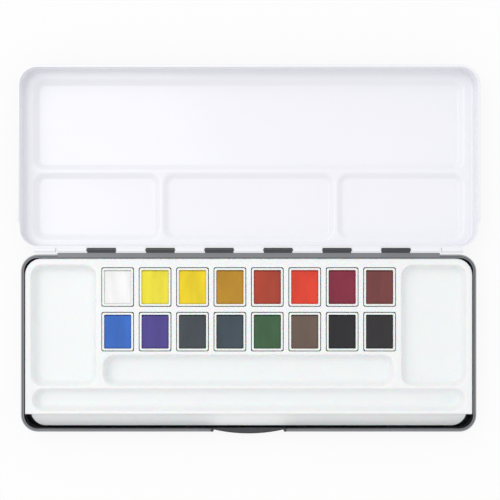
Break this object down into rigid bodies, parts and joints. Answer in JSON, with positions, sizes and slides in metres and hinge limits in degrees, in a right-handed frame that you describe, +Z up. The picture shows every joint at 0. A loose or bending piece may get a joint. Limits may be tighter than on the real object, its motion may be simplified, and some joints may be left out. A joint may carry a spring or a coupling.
{
  "type": "watercolour paint set",
  "caption": "Shallow black enamelled tin with a hinged lid pressed into mixing wells, a white moulded tray with mixing wells and brush trough, and removable half pans of watercolour paint.",
  "frame": {"origin": "centre of the tin's underside, on the table", "axes": "+X along the tin's length, +Y from the tin's front towards the hinge and the open lid, +Z up"},
  "size_m": [0.237, 0.1894, 0.014],
  "materials": {
    "black_enamel": "semi-gloss black enamel on tinplate",
    "steel_wire": "drawn steel wire",
    "lid_enamel": "gloss white enamel inside, black outside",
    "tray_plastic": "white moulded polystyrene",
    "pan_plastic": "white moulded polystyrene",
    "paint_white": "dried watercolour paint, slightly satin",
    "paint_lemon": "dried watercolour paint, slightly satin",
    "paint_yellow": "dried watercolour paint, slightly satin",
    "paint_ochre": "dried watercolour paint, slightly satin",
    "paint_burnt_sienna": "dried watercolour paint, slightly satin",
    "paint_vermilion": "dried watercolour paint, slightly satin",
    "paint_crimson": "dried watercolour paint, slightly satin",
    "paint_red_brown": "dried watercolour paint, slightly satin",
    "paint_blue": "dried watercolour paint, slightly satin",
    "paint_violet": "dried watercolour paint, slightly satin",
    "paint_indigo": "dried watercolour paint, slightly satin",
    "paint_teal": "dried watercolour paint, slightly satin",
    "paint_green": "dried watercolour paint, slightly satin",
    "paint_umber": "dried watercolour paint, slightly satin",
    "paint_blue_black": "dried watercolour paint, slightly satin",
    "paint_violet_black": "dried watercolour paint, slightly satin"
  },
  "bodies": {
    "tin": {"base_tin": "black_enamel", "hinge_pin": "steel_wire"},
    "lid": {"lid": "lid_enamel"},
    "tray": {"tray_insert": "tray_plastic"},
    "pan_white": {"pan_white": "pan_plastic", "paint_white": "paint_white"},
    "pan_lemon": {"pan_lemon": "pan_plastic", "paint_lemon": "paint_lemon"},
    "pan_yellow": {"pan_yellow": "pan_plastic", "paint_yellow": "paint_yellow"},
    "pan_ochre": {"pan_ochre": "pan_plastic", "paint_ochre": "paint_ochre"},
    "pan_burnt_sienna": {"pan_burnt_sienna": "pan_plastic", "paint_burnt_sienna": "paint_burnt_sienna"},
    "pan_vermilion": {"pan_vermilion": "pan_plastic", "paint_vermilion": "paint_vermilion"},
    "pan_crimson": {"pan_crimson": "pan_plastic", "paint_crimson": "paint_crimson"},
    "pan_red_brown": {"pan_red_brown": "pan_plastic", "paint_red_brown": "paint_red_brown"},
    "pan_blue": {"pan_blue": "pan_plastic", "paint_blue": "paint_blue"},
    "pan_violet": {"pan_violet": "pan_plastic", "paint_violet": "paint_violet"},
    "pan_indigo": {"pan_indigo": "pan_plastic", "paint_indigo": "paint_indigo"},
    "pan_teal": {"pan_teal": "pan_plastic", "paint_teal": "paint_teal"},
    "pan_green": {"pan_green": "pan_plastic", "paint_green": "paint_green"},
    "pan_umber": {"pan_umber": "pan_plastic", "paint_umber": "paint_umber"},
    "pan_blue_black": {"pan_blue_black": "pan_plastic", "paint_blue_black": "paint_blue_black"},
    "pan_violet_black": {"pan_violet_black": "pan_plastic", "paint_violet_black": "paint_violet_black"}
  },
  "joints": [
    {"name": "lid_hinge", "type": "hinge", "parent": "tin", "child": "lid", "pos_m": [0, 0.0478, 0.0121], "axis": [-1, 0, 0], "range_deg": [-180, 0]},
    {"name": "tray_lift", "type": "slide", "parent": "tin", "child": "tray", "axis": [0, 0, 1], "range_m": [0, 0.03]},
    {"name": "pan_white_lift", "type": "slide", "parent": "tray", "child": "pan_white", "axis": [0, 0, 1], "range_m": [0, 0.015]},
    {"name": "pan_lemon_lift", "type": "slide", "parent": "tray", "child": "pan_lemon", "axis": [0, 0, 1], "range_m": [0, 0.015]},
    {"name": "pan_yellow_lift", "type": "slide", "parent": "tray", "child": "pan_yellow", "axis": [0, 0, 1], "range_m": [0, 0.015]},
    {"name": "pan_ochre_lift", "type": "slide", "parent": "tray", "child": "pan_ochre", "axis": [0, 0, 1], "range_m": [0, 0.015]},
    {"name": "pan_burnt_sienna_lift", "type": "slide", "parent": "tray", "child": "pan_burnt_sienna", "axis": [0, 0, 1], "range_m": [0, 0.015]},
    {"name": "pan_vermilion_lift", "type": "slide", "parent": "tray", "child": "pan_vermilion", "axis": [0, 0, 1], "range_m": [0, 0.015]},
    {"name": "pan_crimson_lift", "type": "slide", "parent": "tray", "child": "pan_crimson", "axis": [0, 0, 1], "range_m": [0, 0.015]},
    {"name": "pan_red_brown_lift", "type": "slide", "parent": "tray", "child": "pan_red_brown", "axis": [0, 0, 1], "range_m": [0, 0.015]},
    {"name": "pan_blue_lift", "type": "slide", "parent": "tray", "child": "pan_blue", "axis": [0, 0, 1], "range_m": [0, 0.015]},
    {"name": "pan_violet_lift", "type": "slide", "parent": "tray", "child": "pan_violet", "axis": [0, 0, 1], "range_m": [0, 0.015]},
    {"name": "pan_indigo_lift", "type": "slide", "parent": "tray", "child": "pan_indigo", "axis": [0, 0, 1], "range_m": [0, 0.015]},
    {"name": "pan_teal_lift", "type": "slide", "parent": "tray", "child": "pan_teal", "axis": [0, 0, 1], "range_m": [0, 0.015]},
    {"name": "pan_green_lift", "type": "slide", "parent": "tray", "child": "pan_green", "axis": [0, 0, 1], "range_m": [0, 0.015]},
    {"name": "pan_umber_lift", "type": "slide", "parent": "tray", "child": "pan_umber", "axis": [0, 0, 1], "range_m": [0, 0.015]},
    {"name": "pan_blue_black_lift", "type": "slide", "parent": "tray", "child": "pan_blue_black", "axis": [0, 0, 1], "range_m": [0, 0.015]},
    {"name": "pan_violet_black_lift", "type": "slide", "parent": "tray", "child": "pan_violet_black", "axis": [0, 0, 1], "range_m": [0, 0.015]}
  ]
}
